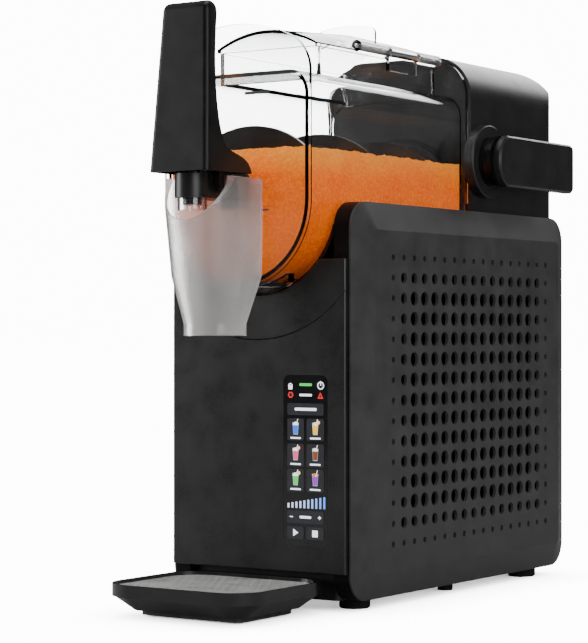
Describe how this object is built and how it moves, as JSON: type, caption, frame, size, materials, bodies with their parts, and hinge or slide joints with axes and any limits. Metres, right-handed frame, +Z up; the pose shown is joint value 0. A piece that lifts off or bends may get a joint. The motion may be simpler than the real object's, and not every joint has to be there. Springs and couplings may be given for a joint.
{
  "type": "slushie machine",
  "caption": "Countertop frozen drink machine with a clear horizontal vessel, chilled drum and auger, tap with shroud, perforated side panels and a pull-out drip tray.",
  "frame": {"origin": "centre of the footprint, on the surface the feet stand on", "axes": "+Z up, -Y towards the tap and drip tray (the front), +X towards the vessel lock lever"},
  "size_m": [0.1786, 0.452, 0.441],
  "materials": {
    "frame_black": "satin moulded black",
    "panel_grey": "satin dark grey, fine grain",
    "fascia_black": "gloss black",
    "display_glass": "gloss black touch window",
    "circuit_board": "green solder mask",
    "cradle_black": "gloss black",
    "base_black": "matte moulded black",
    "foot_rubber": "matte rubber",
    "screw_steel": "satin steel",
    "inlet_black": "matte black",
    "head_black": "satin moulded black",
    "drum_steel": "brushed stainless",
    "copper_tube": "drawn copper",
    "seal_rubber": "matte rubber",
    "bush_white": "acetal",
    "screen_black": "black filter cloth",
    "auger_grey": "satin dark grey",
    "gear_white": "acetal",
    "zinc_plate": "zinc-plated sheet",
    "motor_can": "satin grey",
    "compressor_black": "semi-gloss black enamel",
    "condenser_aluminium": "bare fins",
    "fan_black": "matte black",
    "clear_plastic": "clear copolyester",
    "clear_nozzle": "clear copolyester",
    "tap_black": "satin black",
    "spring_steel": "bright spring wire",
    "handle_black": "satin black, fine grain",
    "frosted_plastic": "frosted translucent",
    "lever_grey": "satin dark grey",
    "hub_black": "gloss black",
    "tray_black": "satin black",
    "pad_grey": "matte dark grey",
    "grate_metal": "perforated dark steel"
  },
  "bodies": {
    "base": {"right_side_frame": "frame_black", "left_side_frame": "frame_black", "right_grille_panel": "panel_grey", "left_grille_panel": "panel_grey", "upper_front_panel": "fascia_black", "lower_front_panel": "fascia_black", "display_window": "display_glass", "display_board": "circuit_board", "vessel_cradle": "cradle_black", "base_pan": "base_black", "rubber_feet": "foot_rubber", "rear_cover": "base_black", "rear_cover_screws": "screw_steel", "power_inlet": "inlet_black", "head_housing": "head_black", "head_bulkhead": "head_black", "chilled_drum": "drum_steel", "evaporator_coil": "copper_tube", "drum_seal": "seal_rubber", "shaft_bushes": "bush_white", "dust_screens": "screen_black", "gear_plate": "zinc_plate", "drive_motor": "motor_can", "control_board": "circuit_board", "power_board": "circuit_board", "compressor": "compressor_black", "compressor_grommets": "seal_rubber", "condenser": "condenser_aluminium", "fan_shroud": "base_black", "fan_motor": "motor_can", "suction_tube": "copper_tube", "discharge_tube": "copper_tube", "liquid_tube": "copper_tube", "capillary_tube": "copper_tube", "filter_drier": "copper_tube"},
    "auger": {"auger": "auger_grey", "auger_shaft": "drum_steel", "auger_nose_cap": "auger_grey", "drive_gear": "gear_white"},
    "pinion": {"motor_pinion": "gear_white", "motor_shaft": "drum_steel"},
    "fan": {"fan_rotor": "fan_black"},
    "vessel": {"vessel": "clear_plastic", "spout_housing": "tap_black", "tap_gasket": "seal_rubber", "outlet_nozzle": "clear_nozzle", "valve_spring": "spring_steel"},
    "lid": {"filling_lid": "clear_plastic", "lid_hinge_pin": "screw_steel"},
    "handle": {"tap_handle": "handle_black"},
    "valve": {"valve_poppet": "tap_black", "poppet_seal": "seal_rubber"},
    "shroud": {"spout_shroud": "frosted_plastic"},
    "lever": {"lock_lever": "lever_grey", "lever_disc": "lever_grey", "lever_hub": "hub_black", "lever_shaft": "drum_steel"},
    "tray": {"drip_tray": "tray_black", "tray_pad": "pad_grey"},
    "grate": {"drip_grate": "grate_metal"}
  },
  "joints": [
    {"name": "auger_spin", "type": "hinge", "parent": "base", "child": "auger", "pos_m": [0, -0.019, 0.298], "axis": [0, 1, 0], "continuous": true},
    {"name": "pinion_spin", "type": "hinge", "parent": "base", "child": "pinion", "pos_m": [0, 0.098, 0.343], "axis": [0, 1, 0], "continuous": true},
    {"name": "fan_spin", "type": "hinge", "parent": "base", "child": "fan", "pos_m": [-0.032, -0.009, 0.116], "axis": [1, 0, 0], "continuous": true},
    {"name": "vessel_slide", "type": "slide", "parent": "base", "child": "vessel", "axis": [0, -1, 0], "range_m": [0, 0.23]},
    {"name": "lid_hinge", "type": "hinge", "parent": "vessel", "child": "lid", "pos_m": [0.0455, 0.011, 0.4165], "axis": [0, 1, 0], "range_deg": [0, 100]},
    {"name": "tap_handle_hinge", "type": "hinge", "parent": "vessel", "child": "handle", "pos_m": [0, -0.181, 0.309], "axis": [1, 0, 0], "range_deg": [0, 25], "stiffness_Nm_per_rad": 0.8, "springref_deg": -11.46},
    {"name": "tap_valve_slide", "type": "slide", "parent": "vessel", "child": "valve", "axis": [0, 0, -1], "range_m": [0, 0.0093], "deforming": ["valve_spring"]},
    {"name": "shroud_slide", "type": "slide", "parent": "vessel", "child": "shroud", "axis": [0, 0, -1], "range_m": [0, 0.06]},
    {"name": "lock_lever_hinge", "type": "hinge", "parent": "base", "child": "lever", "pos_m": [0.087, 0.098, 0.338], "axis": [1, 0, 0], "range_deg": [0, 90]},
    {"name": "tray_slide", "type": "slide", "parent": "base", "child": "tray", "axis": [0, -1, 0], "range_m": [0, 0.08]},
    {"name": "grate_lift", "type": "slide", "parent": "tray", "child": "grate", "axis": [0, 0, 1], "range_m": [0, 0.04]}
  ],
  "couplings": [
    {"joint": "pinion_spin", "follows": "auger_spin", "ratio": -4},
    {"joint": "tap_valve_slide", "follows": "tap_handle_hinge", "m_per_rad": 0.021085}
  ]
}
